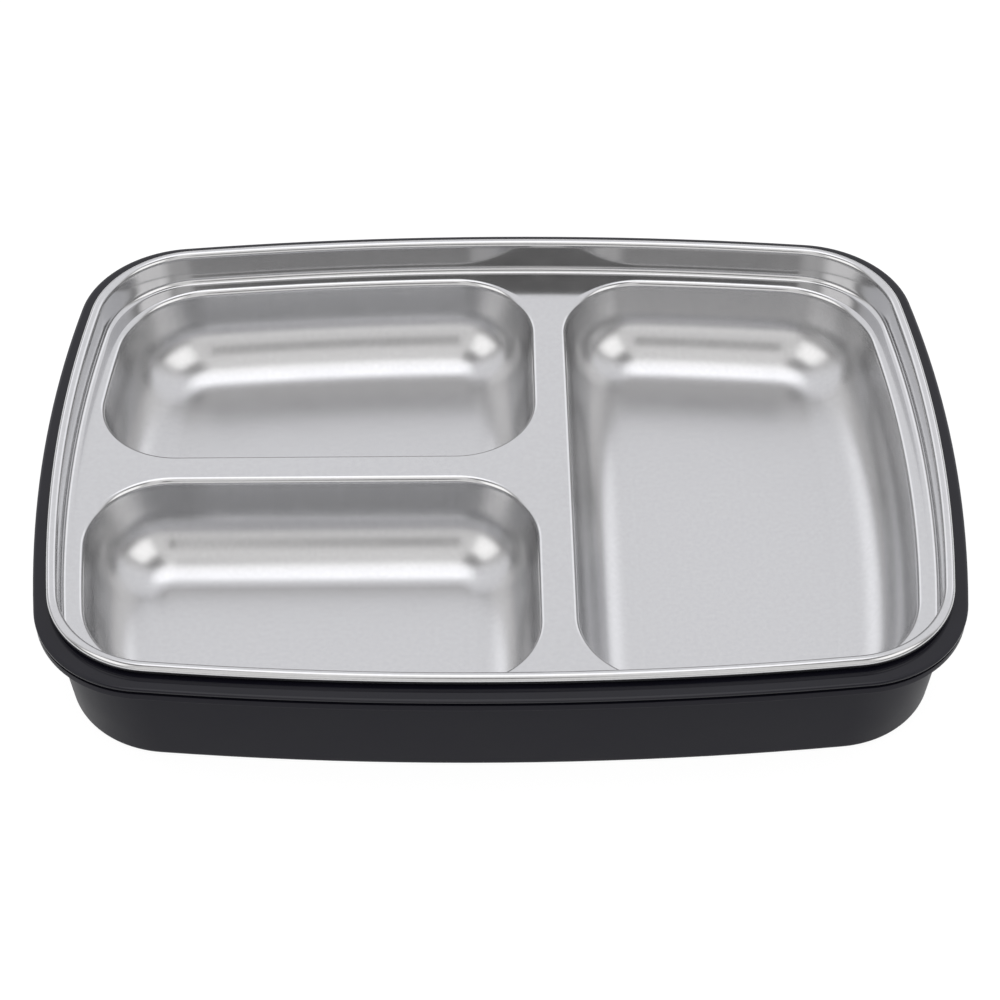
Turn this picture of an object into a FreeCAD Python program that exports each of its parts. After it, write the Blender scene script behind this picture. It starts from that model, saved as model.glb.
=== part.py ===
import FreeCAD, Part
import math
import os

# Bento lunch box with its lid off: a moulded outer case and the pressed steel tray that hangs in it by
# its rolled edge. Millimetres. +Z is up, +X runs along the length and -Y is the front. The origin is the
# middle of the underside.

# Outer case: sizes over the flange, then the flange, the groove and band under it and the tapered body
case_length = 280.0
case_width = 206.0
case_height = 38.0
long_side_bow = 996.5
short_side_bow = 476.0
flange_corner_radius = 35.5
flange_thickness = 1.4
flange_edge_radius = 0.55
groove_height = 1.2
groove_depth = 0.8
band_height = 1.8
band_inset = 0.2
body_corner_radius = 35.5
body_draft = 5.8
base_edge_radius = 2.5
case_end_wall = 2.4
case_side_wall = 3.0
case_floor = 1.8
cavity_fillet = 4.0

# Steel tray: the rolled edge, the recess inside it, and the three pockets
sheet = 0.5
curl_diameter = 3.4
curl_turn = 290.0
rim_end_ledge = 4.0
rim_side_ledge = 5.2
rim_corner_radius = 34.5
recess_depth = 11.8
recess_fillet = 2.0
shelf_end_width = 6.1
shelf_side_width = 5.4
divider_width = 11.0
divider_place = 17.0
pocket_corner_radius = 25.0
pocket_outer_corner_radius = 30.3
pocket_draft = 9.0
pocket_edge_radius = 2.0
pocket_floor_fillet = 19.0

# Clearances between the tray and the case
tray_side_clearance = 0.5
tray_seat_clearance = 0.3
tray_floor_clearance = 0.8

# Levels that follow from the sizes above
flange_bottom = case_height - flange_thickness
groove_bottom = flange_bottom - groove_height
band_bottom = groove_bottom - band_height
curl_radius = curl_diameter / 2
curl_level = case_height + tray_seat_clearance + curl_radius
shelf_level = curl_level + curl_radius - recess_depth
pocket_floor_level = case_floor + tray_floor_clearance + sheet
cavity_step_level = shelf_level - sheet - tray_side_clearance

UP = FreeCAD.Vector(0, 0, 1)
LEVEL_TOLERANCE = 0.01


class Plan:
    """Where an outline runs in plan: its insets from the flange's edge and its corner radius."""

    def __init__(self, end_inset, side_inset, corner_radius):
        self.end_inset = end_inset
        self.side_inset = side_inset
        self.corner_radius = corner_radius

    def drawn_in(self, distance):
        """Plan of the outline that runs a distance further in."""
        return Plan(self.end_inset + distance, self.side_inset + distance, self.corner_radius - distance)


flange_edge = Plan(0.0, 0.0, flange_corner_radius)
rim_edge = Plan(rim_end_ledge, rim_side_ledge, rim_corner_radius)
rim_wall = rim_edge.drawn_in(curl_diameter)
cavity_mouth = rim_wall.drawn_in(-sheet - tray_side_clearance)
body_top = Plan(
    cavity_mouth.end_inset - case_end_wall,
    cavity_mouth.side_inset - case_side_wall,
    body_corner_radius,
)
body_foot = body_top.drawn_in(band_bottom * math.tan(math.radians(body_draft)))
cavity_foot = Plan(
    body_foot.end_inset + case_end_wall,
    body_foot.side_inset + case_side_wall,
    body_foot.corner_radius - case_end_wall,
)
pocket_field = Plan(
    rim_wall.end_inset + shelf_end_width,
    rim_wall.side_inset + shelf_side_width,
    pocket_outer_corner_radius,
)


def corner_centre(side_centre, side_reach, end_centre, end_reach):
    """Point in the first quadrant that lies side_reach from one centre and end_reach from the other."""
    across = end_centre - side_centre
    span = across.Length
    along = (side_reach ** 2 - end_reach ** 2 + span ** 2) / (2 * span)
    off = math.sqrt(side_reach ** 2 - along ** 2)
    unit = across / span
    points = [side_centre + unit * along + unit.cross(UP) * (off * sign) for sign in (1, -1)]
    return max(points, key=lambda point: point.x + point.y)


def bowed_outline(plan, level=0.0):
    """Closed outline at a level: four bowed sides and four round corners that run into them."""
    side_centre = FreeCAD.Vector(0, case_width / 2 - long_side_bow, level)
    end_centre = FreeCAD.Vector(case_length / 2 - short_side_bow, 0, level)
    side_radius = long_side_bow - plan.side_inset
    end_radius = short_side_bow - plan.end_inset
    corner_radius = plan.corner_radius
    corner = corner_centre(side_centre, side_radius - corner_radius, end_centre, end_radius - corner_radius)
    side_turn = math.degrees(math.atan2(corner.y - side_centre.y, corner.x - side_centre.x))
    end_turn = math.degrees(math.atan2(corner.y - end_centre.y, corner.x - end_centre.x))
    quarter = (
        (end_centre, end_radius, 0, end_turn),
        (corner, corner_radius, end_turn, side_turn),
        (side_centre, side_radius, side_turn, 90),
    )
    half = [Part.makeCircle(radius, centre, UP, start, stop) for centre, radius, start, stop in quarter]
    for centre, radius, start, stop in reversed(quarter):
        opposite = FreeCAD.Vector(-centre.x, centre.y, level)
        half.append(Part.makeCircle(radius, opposite, UP, 180 - stop, 180 - start))
    return Part.Wire(half + [arc.rotated(FreeCAD.Vector(), UP, 180) for arc in half])


def prism(outline, height):
    """Straight solid that stands on an outline."""
    return Part.Face(outline).extrude(UP * height)


def taper(lower, upper):
    """Solid with straight slanting sides between two outlines."""
    return Part.makeLoft([lower, upper], True, True)


def edges_at(shape, level):
    """Edges of a shape that lie wholly at one level."""
    boxes = [(edge, edge.BoundBox) for edge in shape.Edges]
    return [edge for edge, box in boxes if max(abs(box.ZMin - level), abs(box.ZMax - level)) < LEVEL_TOLERANCE]


def case_cavity():
    """Space inside the case: straight sides beside the tray's rim, then sides that slope to the floor."""
    step = bowed_outline(cavity_mouth, cavity_step_level)
    lower = taper(bowed_outline(cavity_foot, case_floor), step)
    lower = lower.makeFillet(cavity_fillet, edges_at(lower, case_floor))
    return lower.fuse(prism(step, case_height - cavity_step_level))


def outer_case():
    """Case: tapered body, narrow band, groove and flange outside, and the cavity for the tray inside."""
    body = taper(bowed_outline(body_foot), bowed_outline(body_top, band_bottom))
    body = body.makeFillet(base_edge_radius, edges_at(body, 0))
    band = prism(bowed_outline(flange_edge.drawn_in(band_inset), band_bottom), band_height)
    neck_edge = flange_edge.drawn_in(band_inset + groove_depth)
    neck = prism(bowed_outline(neck_edge, groove_bottom), groove_height)
    flange = prism(bowed_outline(flange_edge, flange_bottom), flange_thickness)
    flange_edges = edges_at(flange, case_height) + edges_at(flange, flange_bottom)
    flange = flange.makeFillet(flange_edge_radius, flange_edges)
    return body.fuse([band, neck, flange]).cut(case_cavity())


def pocket_cores():
    """Plan faces of the three pockets, drawn in by the corner radius."""
    field = Part.Face(bowed_outline(pocket_field))
    half_divider = divider_width / 2
    end = case_length / 2
    side = case_width / 2
    spans = (
        (-end, divider_place - half_divider, half_divider, side),
        (-end, divider_place - half_divider, -side, -half_divider),
        (divider_place + half_divider, end, -side, side),
    )
    cores = []
    for left, right, front, back in spans:
        window = Part.makePlane(right - left, back - front, FreeCAD.Vector(left, front, 0))
        cores.append(field.common(window).Faces[0].makeOffset2D(-pocket_corner_radius))
    return cores


def pocket(core, skin):
    """One pocket as a solid, its sides and floor moved out by a skin."""
    draft = math.radians(pocket_draft)
    floor = pocket_floor_level - skin
    mouth_offset = pocket_corner_radius + skin / math.cos(draft)
    floor_offset = mouth_offset - (shelf_level - floor) * math.tan(draft)
    lower = core.makeOffset2D(floor_offset).OuterWire.translated(UP * floor)
    upper = core.makeOffset2D(mouth_offset).OuterWire.translated(UP * shelf_level)
    solid = taper(lower, upper)
    return solid.makeFillet(pocket_floor_fillet + skin, edges_at(solid, floor))


def pressed_form(cores, skin):
    """Hollow of the tray up to the level of its curl, moved out by a skin."""
    bottom = shelf_level - skin
    recess = prism(bowed_outline(rim_wall.drawn_in(-skin), bottom), curl_level - bottom)
    recess = recess.makeFillet(recess_fillet + skin, edges_at(recess, bottom))
    form = recess.fuse([pocket(core, skin) for core in cores])
    level_faces = [face for face in form.Faces if abs(face.CenterOfMass.z - bottom) < LEVEL_TOLERANCE]
    shelf = max(level_faces, key=lambda face: face.Area)
    mouths = [wire for wire in shelf.Wires if not wire.isSame(shelf.OuterWire)]
    return form.makeFillet(pocket_edge_radius - skin, [edge for mouth in mouths for edge in mouth.Edges])


def curl_section(place, outward):
    """Cut through the rolled edge: a strip of sheet bent from the rim wall over the top and under."""
    def point(radius, turn):
        angle = math.radians(180 - turn)
        return place + outward * (radius * math.cos(angle)) + UP * (radius * math.sin(angle))

    turns = (0, curl_turn / 2, curl_turn)
    outer = [point(curl_radius, turn) for turn in turns]
    inner = [point(curl_radius - sheet, turn) for turn in turns]
    edges = [
        Part.Arc(*outer).toShape(),
        Part.makeLine(outer[-1], inner[-1]),
        Part.Arc(*reversed(inner)).toShape(),
        Part.makeLine(inner[0], outer[0]),
    ]
    return Part.Face(Part.Wire(edges))


def rolled_edge():
    """Curl round the whole rim: its section turned about the centre of each arc of the outline."""
    outline = bowed_outline(rim_edge.drawn_in(curl_radius), curl_level)
    lengths = []
    for arc in outline.Edges:
        centre = arc.Curve.Center
        start = arc.valueAt(arc.FirstParameter)
        section = curl_section(start, (start - centre).normalize())
        lengths.append(section.revolve(centre, UP, math.degrees(arc.LastParameter - arc.FirstParameter)))
    return lengths[0].fuse(lengths[1:])


def steel_tray():
    """Tray: the sheet between the pressed hollow and the same hollow moved out, with the curl on top."""
    cores = pocket_cores()
    pressing = pressed_form(cores, sheet).cut(pressed_form(cores, 0.0))
    return pressing.fuse(rolled_edge())


os.makedirs("parts", exist_ok=True)
pieces = {"outer_case": outer_case(), "steel_tray": steel_tray()}
for name, piece in pieces.items():
    piece.exportStep(f"parts/{name}.step")
    print(name, "valid", piece.isValid(), "solids", len(piece.Solids), "volume", round(piece.Volume, 1))
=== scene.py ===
"""Looks of an open bento lunch box: a black moulded case and the pressed steel tray that hangs in it.

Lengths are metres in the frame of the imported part: +X along the box, +Y to the back and +Z up. Angles are
degrees where a name ends in _degrees and radians elsewhere.
"""
import logging
import math
from dataclasses import dataclass, field
from enum import Enum
from typing import Any, Iterable, Protocol

import bmesh
import bpy
from mathutils import Matrix, Vector


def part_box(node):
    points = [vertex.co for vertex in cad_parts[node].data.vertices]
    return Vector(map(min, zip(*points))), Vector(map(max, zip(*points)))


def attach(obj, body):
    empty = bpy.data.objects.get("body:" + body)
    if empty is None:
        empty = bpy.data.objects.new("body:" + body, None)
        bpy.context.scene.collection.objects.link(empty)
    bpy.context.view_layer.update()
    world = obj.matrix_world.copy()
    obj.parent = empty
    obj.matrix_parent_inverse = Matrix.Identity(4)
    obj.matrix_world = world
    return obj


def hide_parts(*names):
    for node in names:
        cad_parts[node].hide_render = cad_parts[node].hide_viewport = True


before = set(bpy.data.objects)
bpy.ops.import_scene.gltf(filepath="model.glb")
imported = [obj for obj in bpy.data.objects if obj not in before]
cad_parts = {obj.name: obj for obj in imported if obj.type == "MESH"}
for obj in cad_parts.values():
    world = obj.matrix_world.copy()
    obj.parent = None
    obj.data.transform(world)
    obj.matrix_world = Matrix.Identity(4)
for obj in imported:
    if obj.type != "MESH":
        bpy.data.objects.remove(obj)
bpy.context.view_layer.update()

LOG = logging.getLogger("lunch_box")

Colour = tuple[float, float, float, float]
Waves = tuple[float, float, float]

UP = Vector((0.0, 0.0, 1.0))
QUARTER = math.radians(90)
# Directions in plan, then headings in an upright section
TO_RIGHT, TO_BACK, TO_LEFT, TO_FRONT = (QUARTER * turns for turns in range(4))
OUT, RISING, IN = (QUARTER * turns for turns in range(3))
# Fineness of levels and meshes
LEVEL_DIGITS = 5
WELD = 5e-6
CORNER_STEPS = 24
SIDE_STEPS = 20
CLOSING_IN_STEPS = 12
# The range in which most of a noise lies, and how strong its finer layers are
NOISE_LOW = 0.3
NOISE_HIGH = 0.7
NOISE_ROUGHNESS = 0.55
WHITE: Colour = (1.0, 1.0, 1.0, 1.0)


class Side(Protocol):
    """A side of an outline in plan."""

    def depth(self, point: Vector) -> float:
        """Return how far a point lies inside the side."""

    def outward(self, point: Vector) -> Vector:
        """Return the direction out of the outline nearest to a point."""


@dataclass(frozen=True)
class StraightSide:
    """A straight side, by the direction that it faces and its distance from the origin that way."""

    facing: float
    reach: float

    def depth(self, point: Vector) -> float:
        """Return how far a point lies inside the side."""
        return self.reach - point.dot(self.outward(point))

    def outward(self, point: Vector) -> Vector:
        """Return the direction that the side faces, the same at every point."""
        return Vector((math.cos(self.facing), math.sin(self.facing)))


@dataclass(frozen=True)
class BowedSide:
    """A side that bows outward, as an arc about a far centre."""

    centre: Vector
    radius: float

    def depth(self, point: Vector) -> float:
        """Return how far a point lies inside the arc."""
        return self.radius - (point - self.centre).length

    def outward(self, point: Vector) -> Vector:
        """Return the direction from the arc's centre to a point."""
        return (point - self.centre).normalized()


@dataclass(frozen=True)
class Leg:
    """One stretch of a sweep: a swing about an upright axis, or a straight shift."""

    centre: Vector
    angle: float
    shift: Vector
    steps: int


@dataclass(frozen=True)
class Outline:
    """A closed outline of four sides and four round corners, counter-clockwise from the right-hand side.

    Corner k lies between side k and the side after it.
    """

    sides: tuple[Side, Side, Side, Side]
    corner_radii: tuple[float, float, float, float]

    def corner_centre(self, index: int) -> Vector:
        """Find the centre of a corner's arc, which lies one radius inside both of its sides.

        Args:
            index: The corner's number.

        Returns:
            The centre in plan.
        """
        first, second = self.sides[index], self.sides[(index + 1) % 4]
        radius = self.corner_radii[index]
        point = Vector((0.0, 0.0))
        for _ in range(CLOSING_IN_STEPS):
            spare = Vector((first.depth(point) - radius, second.depth(point) - radius))
            point = point + Matrix((first.outward(point), second.outward(point))).inverted() @ spare
        return point

    def start(self) -> tuple[Vector, Vector]:
        """Find where a sweep starts: the end of the first side, at the first corner.

        Returns:
            The point in plan and the direction outward there.
        """
        centre = self.corner_centre(0)
        outward = self.sides[0].outward(centre)
        return centre + outward * self.corner_radii[0], outward

    def legs(self) -> list[Leg]:
        """Divide a sweep once round the outline into its stretches.

        Returns:
            A swing round each corner and then a swing or a shift along the side after it.
        """
        centres = [self.corner_centre(index) for index in range(4)]
        still = Vector((0.0, 0.0, 0.0))
        legs = []
        for index, centre in enumerate(centres):
            side, after = self.sides[index], self.sides[(index + 1) % 4]
            following = centres[(index + 1) % 4]
            corner_turn = -side.outward(centre).angle_signed(after.outward(centre))
            legs.append(Leg(centre.to_3d(), corner_turn, still, CORNER_STEPS))
            side_turn = -after.outward(centre).angle_signed(after.outward(following))
            if isinstance(after, BowedSide):
                legs.append(Leg(after.centre.to_3d(), side_turn, still, SIDE_STEPS))
            else:
                legs.append(Leg(still, 0.0, (following - centre).to_3d(), SIDE_STEPS))
        return legs


@dataclass(frozen=True)
class Track:
    """Where an outline runs in plan: its insets from the flange's edge and its corner radius."""

    end_inset: float
    side_inset: float
    corner_radius: float

    def drawn_in(self, distance: float) -> "Track":
        """Return the track of the outline that runs a distance further in."""
        return Track(self.end_inset + distance, self.side_inset + distance, self.corner_radius - distance)


@dataclass(frozen=True)
class BoxPlan:
    """The box seen from above: its flange's extent and how far its sides bow."""

    half_length: float
    half_width: float
    long_side_bow: float = 0.9965
    short_side_bow: float = 0.476

    @classmethod
    def from_frame(cls) -> "BoxPlan":
        """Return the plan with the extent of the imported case."""
        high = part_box("outer_case")[1]
        return cls(high.x, high.y)

    def sides(self, track: Track) -> tuple[BowedSide, BowedSide, BowedSide, BowedSide]:
        """Return the four bowed sides, drawn in from the flange's edge.

        Args:
            track: How far inside the flange's edge they run.

        Returns:
            The right, back, left and front sides.
        """
        end = Vector((self.half_length - self.short_side_bow, 0.0))
        side = Vector((0.0, self.half_width - self.long_side_bow))
        end_radius = self.short_side_bow - track.end_inset
        side_radius = self.long_side_bow - track.side_inset
        return (
            BowedSide(end, end_radius),
            BowedSide(side, side_radius),
            BowedSide(-end, end_radius),
            BowedSide(-side, side_radius),
        )

    def outline(self, track: Track) -> Outline:
        """Return the outline along a track, with equal corners."""
        return Outline(self.sides(track), (track.corner_radius,) * 4)


@dataclass
class SectionPen:
    """Draws an open section from lines and arcs, in the upright plane where a sweep starts.

    A heading of OUT points away from the box, IN to its middle and RISING straight up.
    """

    mesh: bmesh.types.BMesh
    tip: bmesh.types.BMVert
    outward: Vector
    heading: float
    drawn: list[Any] = field(default_factory=list)

    @classmethod
    def on(cls, mesh: bmesh.types.BMesh, outline: Outline, reach: float, level: float,
           heading: float) -> "SectionPen":
        """Set the pen down beside an outline.

        Args:
            mesh: The mesh that is drawn in.
            outline: The outline that the section will be swept along.
            reach: Distance outside the outline.
            level: Height of the first point.
            heading: Direction of the first stroke.

        Returns:
            The pen at its first point.
        """
        foot, outward = outline.start()
        place = (foot + outward * reach).to_3d() + UP * level
        tip = mesh.verts.new(place)
        return cls(mesh, tip, outward.to_3d(), heading, [tip])

    def direction(self, heading: float) -> Vector:
        """Return the direction in space of a heading in the section's plane."""
        return self.outward * math.cos(heading) + UP * math.sin(heading)

    def turn_to(self, heading: float) -> None:
        """Turn the pen on the spot."""
        self.heading = heading

    def line(self, length: float) -> None:
        """Draw a straight stroke.

        Args:
            length: Length of the stroke.
        """
        made = bmesh.ops.extrude_vert_indiv(self.mesh, verts=[self.tip])
        self.tip = made["verts"][0]
        bmesh.ops.translate(self.mesh, verts=[self.tip], vec=self.direction(self.heading) * length)
        self.drawn += made["verts"] + made["edges"]

    def flat(self, length: float, margin: float) -> None:
        """Draw a straight stroke with a point near each end, so that its shading stays flat.

        Args:
            length: Length of the stroke.
            margin: Distance of the two points from its ends.
        """
        for part in (margin, length - 2 * margin, margin):
            self.line(part)

    def bend(self, radius: float, angle: float, steps: int) -> None:
        """Draw an arc.

        Args:
            radius: The arc's radius.
            angle: The turn, positive from outward to up.
            steps: Number of short strokes.
        """
        to_centre = self.heading + math.copysign(QUARTER, angle)
        centre = self.tip.co + self.direction(to_centre) * radius
        before = set(self.mesh.verts) | set(self.mesh.edges)
        made = bmesh.ops.spin(
            self.mesh, geom=[self.tip], cent=centre, axis=self.outward.cross(UP), angle=angle, steps=steps
        )
        self.drawn += [part for part in [*self.mesh.verts, *self.mesh.edges] if part not in before]
        self.tip = next(part for part in made["geom_last"] if isinstance(part, bmesh.types.BMVert))
        self.heading += angle

    def sweep(self, outline: Outline) -> None:
        """Carry the drawn section once round an outline and close it on itself.

        Args:
            outline: The outline that the pen was set down on.
        """
        section = self.drawn
        for leg in outline.legs():
            made = bmesh.ops.spin(
                self.mesh, geom=section, cent=leg.centre, axis=UP, dvec=leg.shift / leg.steps,
                angle=leg.angle, steps=leg.steps
            )
            section = made["geom_last"]
        bmesh.ops.remove_doubles(self.mesh, verts=self.mesh.verts, dist=WELD)


def open_edges(mesh: bmesh.types.BMesh, level: float) -> list[bmesh.types.BMEdge]:
    """Find the open edges of a mesh that lie at one level.

    Args:
        mesh: The mesh to look through.
        level: The height of the edges.

    Returns:
        The edges.
    """
    return [
        edge for edge in mesh.edges
        if edge.is_boundary and all(abs(vertex.co.z - level) < WELD for vertex in edge.verts)
    ]


def piece_from(mesh: bmesh.types.BMesh, name: str, sharp_degrees: float) -> bpy.types.Object:
    """Turn a finished mesh into an object at the origin, smooth but for its sharp edges.

    Args:
        mesh: The mesh, which is freed.
        name: The piece's name.
        sharp_degrees: Edges that bend more than this stay sharp.

    Returns:
        The new object.
    """
    data = bpy.data.meshes.new(name)
    mesh.to_mesh(data)
    mesh.free()
    data.shade_smooth()
    data.set_sharp_from_angle(angle=math.radians(sharp_degrees))
    piece = bpy.data.objects.new(name, data)
    bpy.context.scene.collection.objects.link(piece)
    return piece


@dataclass
class NodeBench:
    """One node tree while its nodes are laid out."""

    tree: bpy.types.NodeTree

    def add(self, kind: str, values: dict[str, Any] | None = None, **settings: Any) -> bpy.types.Node:
        """Add a node.

        Args:
            kind: Blender's name of the node's type.
            values: Values of its sockets, by name.
            settings: Its own settings.

        Returns:
            The node.
        """
        node = self.tree.nodes.new(kind)
        for name, value in settings.items():
            setattr(node, name, value)
        for name, value in (values or {}).items():
            node.inputs[name].default_value = value
        return node

    def link(self, source: bpy.types.NodeSocket, target: bpy.types.NodeSocket) -> None:
        """Join an output to an input."""
        self.tree.links.new(source, target)

    def span(self, source: bpy.types.NodeSocket, low: float, high: float, to_low: float, to_high: float,
             smooth: bool = False) -> bpy.types.NodeSocket:
        """Map one range of a value to another.

        Args:
            source: The value.
            low: Start of its range.
            high: End of its range.
            to_low: Result at the start.
            to_high: Result at the end.
            smooth: Ease in and out instead of a straight ramp.

        Returns:
            The mapped value.
        """
        node = self.add(
            "ShaderNodeMapRange",
            {"From Min": low, "From Max": high, "To Min": to_low, "To Max": to_high},
            interpolation_type="SMOOTHSTEP" if smooth else "LINEAR",
        )
        self.link(source, node.inputs["Value"])
        return node.outputs["Result"]

    def maths(self, operation: str, first: bpy.types.NodeSocket,
              second: bpy.types.NodeSocket | float) -> bpy.types.NodeSocket:
        """Combine two values.

        Args:
            operation: Name of the sum.
            first: The first value.
            second: The second value, a socket or a number.

        Returns:
            The result.
        """
        node = self.add("ShaderNodeMath", operation=operation)
        self.link(first, node.inputs[0])
        if isinstance(second, bpy.types.NodeSocket):
            self.link(second, node.inputs[1])
        else:
            node.inputs[1].default_value = second
        return node.outputs["Value"]

    def noise(self, coordinates: bpy.types.NodeSocket, scale: Waves, detail: float) -> bpy.types.NodeSocket:
        """Lay a noise over the surface.

        Args:
            coordinates: Where the noise is read.
            scale: Waves per metre along each axis.
            detail: Number of finer layers.

        Returns:
            The noise, from 0 to 1.
        """
        mapping = self.add("ShaderNodeMapping", {"Scale": scale})
        self.link(coordinates, mapping.inputs["Vector"])
        layers = {"Scale": 1.0, "Detail": detail, "Roughness": NOISE_ROUGHNESS}
        noise = self.add("ShaderNodeTexNoise", layers)
        self.link(mapping.outputs["Vector"], noise.inputs["Vector"])
        return noise.outputs["Fac"]

    def spread(self, noise: bpy.types.NodeSocket, low: float, high: float) -> bpy.types.NodeSocket:
        """Return a noise stretched between two values."""
        return self.span(noise, NOISE_LOW, NOISE_HIGH, low, high)

    def blend(self, share: bpy.types.NodeSocket, first: Colour, second: Colour) -> bpy.types.NodeSocket:
        """Mix two colours.

        Args:
            share: Share of the second colour, from 0 to 1.
            first: The colour at 0.
            second: The colour at 1.

        Returns:
            The mixed colour.
        """
        mix = self.add("ShaderNodeMix", data_type="RGBA")
        first_colour, second_colour = (socket for socket in mix.inputs if socket.type == "RGBA")
        first_colour.default_value = first
        second_colour.default_value = second
        self.link(share, mix.inputs["Factor"])
        return next(socket for socket in mix.outputs if socket.type == "RGBA")

    def bump(self, height: bpy.types.NodeSocket, depth: float) -> bpy.types.NodeSocket:
        """Roughen the surface.

        Args:
            height: Height of each point, from 0 to 1.
            depth: The real height that 1 stands for.

        Returns:
            The roughened surface's normal.
        """
        bump = self.add("ShaderNodeBump", {"Strength": 1.0, "Distance": depth})
        self.link(height, bump.inputs["Height"])
        return bump.outputs["Normal"]


@dataclass
class FinishBench(NodeBench):
    """A new material's node tree, with its shader and the places on the piece."""

    shader: bpy.types.Node
    place: bpy.types.NodeSocket
    level: bpy.types.NodeSocket

    @classmethod
    def for_material(cls, material: bpy.types.Material) -> "FinishBench":
        """Lay out a material's first nodes.

        Args:
            material: The material, which gets its node tree.

        Returns:
            The bench, with the object's coordinates and the height over its origin.
        """
        material.use_nodes = True
        tree = material.node_tree
        place = tree.nodes.new("ShaderNodeTexCoord").outputs["Object"]
        split = tree.nodes.new("ShaderNodeSeparateXYZ")
        tree.links.new(place, split.inputs["Vector"])
        return cls(tree, tree.nodes["Principled BSDF"], place, split.outputs["Z"])

    def feed(self, **sources: bpy.types.NodeSocket) -> None:
        """Join results to the shader's inputs, whose names are given with _ for each space."""
        for name, source in sources.items():
            self.link(source, self.shader.inputs[name.replace("_", " ")])


@dataclass(frozen=True)
class PressedSteel:
    """Stainless sheet: bright on the shelf and rolled edge, satin with faint upright grain in pockets."""

    dark: Colour = (0.543, 0.543, 0.548, 1.0)
    light: Colour = (0.567, 0.567, 0.572, 1.0)
    bright_roughness: float = 0.13
    satin_roughness: float = 0.25
    roughness_spread: float = 0.012
    satin_depth: float = 0.004
    streak_scale: Waves = (700.0, 700.0, 10.0)
    streak_detail: float = 3.0
    peel_scale: Waves = (100.0, 100.0, 100.0)
    peel_detail: float = 2.0
    peel_height: float = 0.0000005

    def material(self, shelf_level: float) -> bpy.types.Material:
        """Make the finish.

        Args:
            shelf_level: Height of the shelf, under which the sheet is satin.

        Returns:
            The material.
        """
        steel = bpy.data.materials.new("pressed_steel")
        bench = FinishBench.for_material(steel)
        bench.shader.inputs["Metallic"].default_value = 1.0
        streaks = bench.noise(bench.place, self.streak_scale, self.streak_detail)
        peel = bench.noise(bench.place, self.peel_scale, self.peel_detail)
        satin = bench.span(
            bench.level, shelf_level - self.satin_depth, shelf_level,
            self.satin_roughness, self.bright_roughness, smooth=True
        )
        uneven = bench.spread(peel, -self.roughness_spread, self.roughness_spread)
        bench.feed(
            Base_Color=bench.blend(bench.spread(streaks, 0.0, 1.0), self.dark, self.light),
            Roughness=bench.maths("ADD", satin, uneven),
            Normal=bench.bump(peel, self.peel_height),
        )
        return steel


@dataclass(frozen=True)
class MouldedPlastic:
    """Black plastic: satin with a fine moulded grain on the body and glossier on the flange."""

    dark: Colour = (0.0054, 0.0052, 0.0092, 1.0)
    light: Colour = (0.0068, 0.0065, 0.0110, 1.0)
    flange_gloss: float = 0.29
    body_gloss: float = 0.10
    flange_roughness: float = 0.08
    body_roughness: float = 0.45
    roughness_spread: float = 0.03
    blend_height: float = 0.0008
    cloud_scale: Waves = (60.0, 60.0, 60.0)
    cloud_detail: float = 4.0
    grain_scale: Waves = (2600.0, 2600.0, 2600.0)
    grain_detail: float = 2.0
    grain_height: float = 0.000012
    flange_grain_share: float = 0.1

    def material(self, flange_bottom: float) -> bpy.types.Material:
        """Make the finish.

        Args:
            flange_bottom: Height above which the plastic is glossier.

        Returns:
            The material.
        """
        plastic = bpy.data.materials.new("moulded_plastic")
        bench = FinishBench.for_material(plastic)
        cloud = bench.noise(bench.place, self.cloud_scale, self.cloud_detail)
        grain = bench.noise(bench.place, self.grain_scale, self.grain_detail)
        blend_start = flange_bottom - self.blend_height
        finish, gloss, depth = (
            bench.span(bench.level, blend_start, flange_bottom, on_body, on_flange, smooth=True)
            for on_body, on_flange in (
                (self.body_roughness, self.flange_roughness),
                (self.body_gloss, self.flange_gloss),
                (1.0, self.flange_grain_share),
            )
        )
        uneven = bench.spread(cloud, -self.roughness_spread, self.roughness_spread)
        bench.feed(
            Base_Color=bench.blend(bench.spread(cloud, 0.0, 1.0), self.dark, self.light),
            Roughness=bench.maths("ADD", finish, uneven),
            Specular_IOR_Level=gloss,
            Normal=bench.bump(bench.maths("MULTIPLY", grain, depth), self.grain_height),
        )
        return plastic


class Compartment(Enum):
    """The three food compartments, named by their place in the tray."""

    BACK_LEFT = "back_left"
    FRONT_LEFT = "front_left"
    RIGHT = "right"


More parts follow.
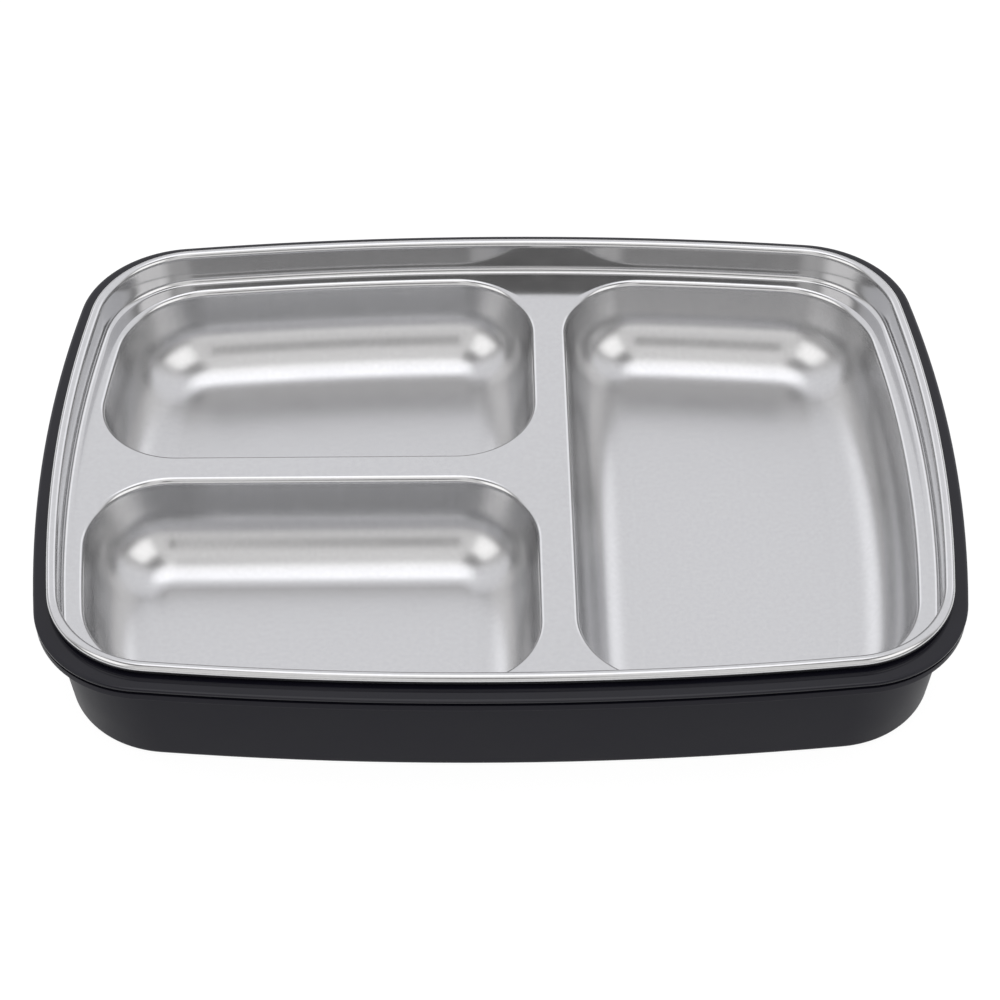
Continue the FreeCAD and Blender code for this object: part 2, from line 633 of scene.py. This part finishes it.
@dataclass
class SteelTray:
    """The pressed tray: a rolled edge, a recess inside it with a shelf, and three pockets in the shelf."""

    plan: BoxPlan
    rim_top: float
    pocket_floor: float
    sheet: float = 0.0005
    curl_diameter: float = 0.0034
    curl_turn_degrees: float = 290.0
    rim_edge: Track = Track(0.0040, 0.0052, 0.0345)
    recess_depth: float = 0.0118
    recess_fillet: float = 0.002
    shelf_end_width: float = 0.0061
    shelf_side_width: float = 0.0054
    pocket_outer_corner_radius: float = 0.0303
    divider_width: float = 0.011
    divider_place: float = 0.017
    pocket_corner_radius: float = 0.025
    pocket_draft_degrees: float = 9.0
    pocket_edge_radius: float = 0.002
    pocket_floor_fillet: float = 0.019
    flat_margin: float = 0.0006
    curl_steps: int = 30
    fillet_steps: int = 10
    floor_fillet_steps: int = 18
    sharp_degrees: float = 60.0

    @classmethod
    def from_frame(cls, plan: BoxPlan) -> "SteelTray":
        """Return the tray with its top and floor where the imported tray, whose curl is faceted, has them."""
        low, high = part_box("steel_tray")
        return cls(plan, rim_top=round(high.z, LEVEL_DIGITS), pocket_floor=low.z + cls.sheet)

    @property
    def shelf_level(self) -> float:
        """Height of the shelf's upper face."""
        return self.rim_top - self.recess_depth

    @property
    def rim_wall(self) -> Track:
        """Track of the upright wall inside the rolled edge."""
        return self.rim_edge.drawn_in(self.curl_diameter)

    @property
    def pocket_field(self) -> Track:
        """Find the track round all three pockets, along the inner edge of the shelf.

        Returns:
            The track.
        """
        wall = self.rim_wall
        end_inset = wall.end_inset + self.shelf_end_width
        side_inset = wall.side_inset + self.shelf_side_width
        return Track(end_inset, side_inset, self.pocket_outer_corner_radius)

    def pocket_outline(self, compartment: Compartment) -> Outline:
        """Find the mouth of a pocket, where its slanting sides would meet the shelf.

        Args:
            compartment: Which pocket.

        Returns:
            The mouth's outline.
        """
        right, back, left, front = self.plan.sides(self.pocket_field)
        half = self.divider_width / 2
        inner, outer = self.pocket_corner_radius, self.pocket_outer_corner_radius
        left_of_divider = StraightSide(TO_RIGHT, self.divider_place - half)
        if compartment is Compartment.BACK_LEFT:
            front_of_pocket = StraightSide(TO_FRONT, -half)
            return Outline((left_of_divider, back, left, front_of_pocket), (inner, outer, inner, inner))
        if compartment is Compartment.FRONT_LEFT:
            back_of_pocket = StraightSide(TO_BACK, -half)
            return Outline((left_of_divider, back_of_pocket, left, front), (inner, inner, outer, inner))
        right_of_divider = StraightSide(TO_LEFT, -self.divider_place - half)
        return Outline((right, back, right_of_divider, front), (outer, inner, inner, outer))

    def press_rim(self, mesh: bmesh.types.BMesh) -> None:
        """Roll the edge and press the rim wall down to the shelf.

        Args:
            mesh: The tray's mesh.
        """
        wall = self.plan.outline(self.rim_wall)
        radius = self.curl_diameter / 2
        turn = math.radians(self.curl_turn_degrees)
        curl_end = IN - turn
        curl_level = self.rim_top - radius
        pen = SectionPen.on(
            mesh, wall, radius + radius * math.cos(curl_end), curl_level + radius * math.sin(curl_end),
            curl_end + QUARTER
        )
        pen.bend(radius, turn, self.curl_steps)
        pen.flat(curl_level - self.shelf_level - self.recess_fillet, self.flat_margin)
        pen.bend(self.recess_fillet, -QUARTER, self.fillet_steps)
        pen.line(self.flat_margin)
        pen.sweep(wall)

    def press_pocket(self, mesh: bmesh.types.BMesh, compartment: Compartment) -> None:
        """Draw one pocket down from the shelf, with slanting sides and a large round at the floor.

        Args:
            mesh: The tray's mesh.
            compartment: Which pocket.
        """
        mouth = self.pocket_outline(compartment)
        slope = QUARTER - math.radians(self.pocket_draft_degrees)
        edge, fillet = self.pocket_edge_radius, self.pocket_floor_fillet
        depth = self.shelf_level - self.pocket_floor
        wall = (depth - (edge + fillet) * (1 - math.cos(slope))) / math.sin(slope)
        rounded = edge * math.tan(slope / 2)
        pen = SectionPen.on(mesh, mouth, rounded + self.flat_margin, self.shelf_level, IN)
        pen.line(self.flat_margin)
        pen.bend(edge, slope, self.fillet_steps)
        pen.flat(wall, self.flat_margin)
        pen.bend(fillet, -slope, self.floor_fillet_steps)
        pen.line(self.flat_margin)
        pen.sweep(mouth)

    def build(self) -> bpy.types.Object:
        """Make the tray's sheet.

        Returns:
            The piece, with the sheet's thickness as a modifier.
        """
        mesh = bmesh.new()
        self.press_rim(mesh)
        for compartment in Compartment:
            self.press_pocket(mesh, compartment)
            bmesh.ops.edgeloop_fill(mesh, edges=open_edges(mesh, self.pocket_floor))
        bmesh.ops.triangle_fill(mesh, edges=open_edges(mesh, self.shelf_level), normal=UP, use_beauty=True)
        bmesh.ops.recalc_face_normals(mesh, faces=mesh.faces)
        floor = min(mesh.faces, key=lambda face: face.calc_center_median().z)
        if floor.normal.z < 0:
            bmesh.ops.reverse_faces(mesh, faces=mesh.faces)
        piece = piece_from(mesh, "tray_pressing", self.sharp_degrees)
        thickness = piece.modifiers.new("sheet", "SOLIDIFY")
        thickness.thickness = self.sheet
        thickness.offset = -1.0
        thickness.use_even_offset = True
        return piece

    def dress(self, piece: bpy.types.Object, finish: PressedSteel) -> None:
        """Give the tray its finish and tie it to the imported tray.

        Args:
            piece: The tray's piece.
            finish: The finish.
        """
        piece.data.materials.append(finish.material(self.shelf_level))
        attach(piece, "tray")
        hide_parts("steel_tray")


@dataclass
class OuterCase:
    """The moulded case: a tapered body, a band, a groove and a flange, with a cavity for the tray."""

    plan: BoxPlan
    height: float
    flange_edge: Track = Track(0.0, 0.0, 0.0355)
    flange_thickness: float = 0.0009
    flange_edge_radius: float = 0.0003
    flange_lower_radius: float = 0.0002
    flange_bevel: float = 0.0005
    flange_bevel_degrees: float = 23.0
    band_height: float = 0.0023
    band_inset: float = 0.0002
    band_edge_radius: float = 0.0003
    groove_height: float = 0.0012
    groove_depth: float = 0.0008
    end_wall: float = 0.0024
    side_wall: float = 0.0030
    body_corner_radius: float = 0.0355
    body_draft_degrees: float = 5.8
    base_edge_radius: float = 0.0025
    floor: float = 0.0018
    cavity_mouth: Track = Track(0.0064, 0.0076, 0.0321)
    cavity_step_level: float = 0.0289
    cavity_edge_radius: float = 0.0004
    cavity_fillet: float = 0.004
    flat_margin: float = 0.0006
    edge_steps: int = 6
    fillet_steps: int = 10
    sharp_degrees: float = 35.0

    @classmethod
    def from_frame(cls, plan: BoxPlan) -> "OuterCase":
        """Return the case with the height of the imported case."""
        return cls(plan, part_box("outer_case")[1].z)

    @property
    def flange_bottom(self) -> float:
        """Height of the flange's lower face."""
        return self.height - self.flange_thickness

    @property
    def band_bottom(self) -> float:
        """Height of the band's lower face, where the body starts."""
        return self.flange_bottom - self.groove_height - self.band_height

    @property
    def draft(self) -> float:
        """Slant of the body's sides from upright."""
        return math.radians(self.body_draft_degrees)

    @property
    def lean(self) -> float:
        """Slant of the body's sides from level, which is the turn of the rounds at their foot."""
        return QUARTER - self.draft

    @property
    def taper(self) -> float:
        """How far the body's sides come in from the band down to the base."""
        return self.band_bottom * math.tan(self.draft)

    @property
    def body_top(self) -> Track:
        """Find the track of the body where it meets the band, one wall outside the cavity's mouth.

        Returns:
            The track.
        """
        end_inset = self.cavity_mouth.end_inset - self.end_wall
        side_inset = self.cavity_mouth.side_inset - self.side_wall
        return Track(end_inset, side_inset, self.body_corner_radius)

    @property
    def cavity_foot(self) -> Track:
        """Find the track of the cavity at its floor, one wall inside the body's base.

        Returns:
            The track.
        """
        mouth = self.cavity_mouth
        upright = Track(mouth.end_inset, mouth.side_inset, self.body_corner_radius - self.end_wall)
        return upright.drawn_in(self.taper)

    def mould_flange(self, mesh: bmesh.types.BMesh) -> None:
        """Sweep the band, the thin groove over it and the flange, up to the flange's top.

        Args:
            mesh: The case's mesh.
        """
        edge = self.plan.outline(self.flange_edge)
        upper, lower, bevel = self.flange_edge_radius, self.flange_lower_radius, self.flange_bevel
        slope = math.radians(self.flange_bevel_degrees)
        start = -self.band_inset - self.band_edge_radius - self.flat_margin
        pen = SectionPen.on(mesh, edge, start, self.band_bottom, OUT)
        pen.line(self.flat_margin)
        pen.bend(self.band_edge_radius, QUARTER, self.edge_steps)
        pen.line(self.band_height - self.band_edge_radius)
        pen.turn_to(IN)
        pen.line(self.groove_depth)
        pen.turn_to(RISING)
        pen.line(self.groove_height)
        pen.turn_to(OUT)
        pen.line(self.groove_depth + self.band_inset - lower)
        pen.bend(lower, QUARTER, self.edge_steps)
        pen.line(self.flange_thickness - lower - upper * math.cos(slope) - bevel * math.sin(slope))
        pen.bend(upper, QUARTER - slope, self.edge_steps)
        pen.line(bevel)
        pen.turn_to(IN)
        pen.line(self.flat_margin)
        pen.sweep(edge)

    def mould_body(self, mesh: bmesh.types.BMesh) -> None:
        """Sweep the tapered body from its flat base up to the band.

        Args:
            mesh: The case's mesh.
        """
        shoulder = self.plan.outline(self.body_top)
        rounded = self.base_edge_radius * math.tan(self.lean / 2)
        pen = SectionPen.on(mesh, shoulder, -self.taper - rounded - self.flat_margin, 0.0, OUT)
        pen.line(self.flat_margin)
        pen.bend(self.base_edge_radius, self.lean, self.fillet_steps)
        pen.line(self.band_bottom / math.cos(self.draft) - rounded)
        pen.sweep(shoulder)

    def mould_cavity(self, mesh: bmesh.types.BMesh) -> None:
        """Sweep the straight sides of the cavity's mouth, and its floor with the round beside it.

        Args:
            mesh: The case's mesh.
        """
        mouth = self.plan.outline(self.cavity_mouth)
        pen = SectionPen.on(mesh, mouth, self.cavity_edge_radius + self.flat_margin, self.height, IN)
        pen.line(self.flat_margin)
        pen.bend(self.cavity_edge_radius, QUARTER, self.edge_steps)
        pen.line(self.height - self.cavity_edge_radius - self.cavity_step_level)
        pen.sweep(mouth)

        floor = self.plan.outline(self.cavity_foot)
        rounded = self.cavity_fillet * math.tan(self.lean / 2)
        pen = SectionPen.on(mesh, floor, -rounded - self.flat_margin, self.floor, OUT)
        pen.line(self.flat_margin)
        pen.bend(self.cavity_fillet, self.lean, self.fillet_steps)
        pen.sweep(floor)

    def build(self) -> bpy.types.Object:
        """Make the case.

        Returns:
            The piece.
        """
        mesh = bmesh.new()
        self.mould_flange(mesh)
        self.mould_body(mesh)
        bmesh.ops.bridge_loops(mesh, edges=open_edges(mesh, self.band_bottom))
        bmesh.ops.edgeloop_fill(mesh, edges=open_edges(mesh, 0.0))
        self.mould_cavity(mesh)
        bmesh.ops.bridge_loops(mesh, edges=open_edges(mesh, self.height))
        bmesh.ops.edgeloop_fill(mesh, edges=open_edges(mesh, self.floor))
        bmesh.ops.bridge_loops(mesh, edges=[edge for edge in mesh.edges if edge.is_boundary])
        bmesh.ops.recalc_face_normals(mesh, faces=mesh.faces)
        return piece_from(mesh, "case_moulding", self.sharp_degrees)

    def dress(self, piece: bpy.types.Object, finish: MouldedPlastic) -> None:
        """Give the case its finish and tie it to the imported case.

        Args:
            piece: The case's piece.
            finish: The finish.
        """
        piece.data.materials.append(finish.material(self.flange_bottom))
        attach(piece, "case")
        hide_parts("outer_case")


@dataclass(frozen=True)
class ProductCamera:
    """The camera: a long lens in front of the box, looking down at it."""

    lens_mm: float = 90.1
    elevation_degrees: float = 44.858
    turn_degrees: float = 0.770
    roll_degrees: float = 0.122
    distance: float = 0.7710
    aim: tuple[float, float, float] = (0.0002, -0.0116, 0.0264)
    nearest: float = 0.01
    farthest: float = 50.0

    @property
    def forward(self) -> Vector:
        """Work out the direction in which the camera looks.

        Returns:
            The direction.
        """
        elevation, turn = math.radians(self.elevation_degrees), math.radians(self.turn_degrees)
        level = math.cos(elevation)
        return Vector((math.sin(turn) * level, math.cos(turn) * level, -math.sin(elevation)))

    def place(self) -> bpy.types.Object:
        """Set up the camera.

        Returns:
            The camera's object.
        """
        data = bpy.data.cameras.new("product_camera")
        data.lens = self.lens_mm
        data.clip_start = self.nearest
        data.clip_end = self.farthest
        camera = bpy.data.objects.new("product_camera", data)
        bpy.context.scene.collection.objects.link(camera)
        right = self.forward.cross(UP).normalized()
        upright = Matrix((right, right.cross(self.forward), -self.forward)).transposed()
        roll = Matrix.Rotation(math.radians(self.roll_degrees), 3, "Z")
        camera.matrix_world = (upright @ roll).to_4x4()
        camera.location = Vector(self.aim) - self.forward * self.distance
        bpy.context.scene.camera = camera
        return camera


@dataclass(frozen=True)
class LightPatch:
    """A soft-edged stretch of the room's walls, by where it is seen from the box.

    Bearings count from the front, where the camera stands, to both sides alike, so that 180 is the back.
    The strength is added to the room's own light and may be negative.
    """

    bearing_degrees: float
    height_degrees: float
    half_width_degrees: float
    half_height_degrees: float
    edge_degrees: float
    strength: float

    def shade(self, bench: NodeBench, bearing: bpy.types.NodeSocket,
              height: bpy.types.NodeSocket) -> bpy.types.NodeSocket:
        """Lay out the patch's nodes.

        Args:
            bench: The room's node tree.
            bearing: Bearing of the direction looked at, in radians.
            height: Its angle above the horizon, in radians.

        Returns:
            The patch's light in that direction.
        """
        shares = []
        for angle, middle, half in (
            (bearing, self.bearing_degrees, self.half_width_degrees),
            (height, self.height_degrees, self.half_height_degrees),
        ):
            away = bench.maths("ABSOLUTE", bench.maths("SUBTRACT", angle, math.radians(middle)), 0.0)
            inner, outer = math.radians(half - self.edge_degrees), math.radians(half + self.edge_degrees)
            shares.append(bench.span(away, inner, outer, 1.0, 0.0, smooth=True))
        return bench.maths("MULTIPLY", bench.maths("MULTIPLY", *shares), self.strength)


@dataclass(frozen=True)
class Studio:
    """A white floor in a softly lit room that is brightest overhead and dim round the camera."""

    floor_size: float = 8.0
    floor_tone: Colour = (0.15, 0.15, 0.15, 1.0)
    floor_roughness: float = 0.9
    floor_glow: float = 0.92
    floor_sharp_degrees: float = 30.0
    room_light: float = 0.30
    front_tint: Colour = (1.0, 0.99, 0.983, 1.0)
    back_tint: Colour = (0.99, 0.99, 1.02, 1.0)
    tint_blend: float = 0.25
    back_wall: LightPatch = LightPatch(180.0, 40.0, 94.0, 30.0, 12.0, 0.78)
    front_wall: LightPatch = LightPatch(0.0, 45.0, 32.0, 40.0, 8.0, 0.70)
    front_wall_top: LightPatch = LightPatch(0.0, 68.0, 30.0, 12.0, 5.0, 0.12)
    camera_shade: LightPatch = LightPatch(0.0, 43.0, 5.5, 8.5, 3.5, -0.84)
    front_wall_foot: LightPatch = LightPatch(0.0, 14.0, 60.0, 6.0, 3.0, 0.2)
    side_lamps: LightPatch = LightPatch(56.0, 38.0, 21.0, 18.0, 6.0, 1.45)
    back_lamps: LightPatch = LightPatch(140.0, 23.0, 14.0, 10.0, 5.0, 0.40)
    ceiling_tilt_degrees: float = 8.0
    ceiling_reach_degrees: float = 15.0
    ceiling_edge_degrees: float = 7.0
    ceiling_light: float = 1.58

    @property
    def patches(self) -> tuple[LightPatch, ...]:
        """Find the patches on the room's walls.

        Returns:
            The patches, whose lights add up where they overlap.
        """
        return (
            self.back_wall, self.front_wall, self.front_wall_top, self.camera_shade,
            self.front_wall_foot, self.side_lamps, self.back_lamps,
        )

    def lay_floor(self) -> bpy.types.Object:
        """Lay the floor.

        Returns:
            The floor's object.
        """
        mesh = bmesh.new()
        bmesh.ops.create_grid(mesh, x_segments=1, y_segments=1, size=self.floor_size / 2)
        floor = piece_from(mesh, "studio_floor", self.floor_sharp_degrees)
        paper = bpy.data.materials.new("studio_paper")
        paper.use_nodes = True
        shader = paper.node_tree.nodes["Principled BSDF"]
        for name, value in {
            "Base Color": self.floor_tone,
            "Roughness": self.floor_roughness,
            "Specular IOR Level": 0.0,
            "Emission Color": WHITE,
            "Emission Strength": self.floor_glow,
        }.items():
            shader.inputs[name].default_value = value
        floor.data.materials.append(paper)
        return floor

    def light_room(self) -> None:
        """Light the room evenly, with the patches on its walls and a bright ceiling."""
        world = bpy.data.worlds.new("studio_room")
        world.use_nodes = True
        bpy.context.scene.world = world
        bench = NodeBench(world.node_tree)
        background = world.node_tree.nodes["Background"]
        split = bench.add("ShaderNodeSeparateXYZ")
        direction = bench.add("ShaderNodeTexCoord").outputs["Generated"]
        bench.link(direction, split.inputs["Vector"])
        across, depth, rise = (split.outputs[axis] for axis in "XYZ")
        towards_front = bench.maths("MULTIPLY", depth, -1.0)
        bearing = bench.maths("ABSOLUTE", bench.maths("ARCTAN2", across, towards_front), 0.0)
        height = bench.maths("ARCSINE", rise, 0.0)

        backward = bench.span(depth, -self.tint_blend, self.tint_blend, 0.0, 1.0, smooth=True)
        bench.link(bench.blend(backward, self.front_tint, self.back_tint), background.inputs["Color"])

        tilt = math.radians(self.ceiling_tilt_degrees)
        overhead = bench.add("ShaderNodeVectorMath", operation="DOT_PRODUCT")
        bench.link(direction, overhead.inputs[0])
        overhead.inputs[1].default_value = (0.0, math.sin(tilt), math.cos(tilt))
        reach, edge = self.ceiling_reach_degrees, self.ceiling_edge_degrees
        outer, inner = math.cos(math.radians(reach + edge)), math.cos(math.radians(reach - edge))
        ceiling = bench.span(overhead.outputs["Value"], outer, inner, 0.0, self.ceiling_light, smooth=True)
        light = bench.maths("ADD", ceiling, self.room_light)
        for patch in self.patches:
            light = bench.maths("ADD", patch.shade(bench, bearing, height), light)
        bench.link(bench.maths("MAXIMUM", light, 0.0), background.inputs["Strength"])

    def build(self) -> None:
        """Set up the floor and the room's light."""
        self.lay_floor()
        self.light_room()
        bpy.context.scene.view_settings.view_transform = "Standard"


def main() -> None:
    """Build the case, the tray and the studio."""
    logging.basicConfig(level=logging.INFO, format="%(name)s: %(message)s")
    plan = BoxPlan.from_frame()
    case = OuterCase.from_frame(plan)
    case_piece = case.build()
    case.dress(case_piece, MouldedPlastic())
    tray = SteelTray.from_frame(plan)
    tray_piece = tray.build()
    tray.dress(tray_piece, PressedSteel())
    ProductCamera().place()
    Studio().build()


if __name__ == "__main__":
    main()
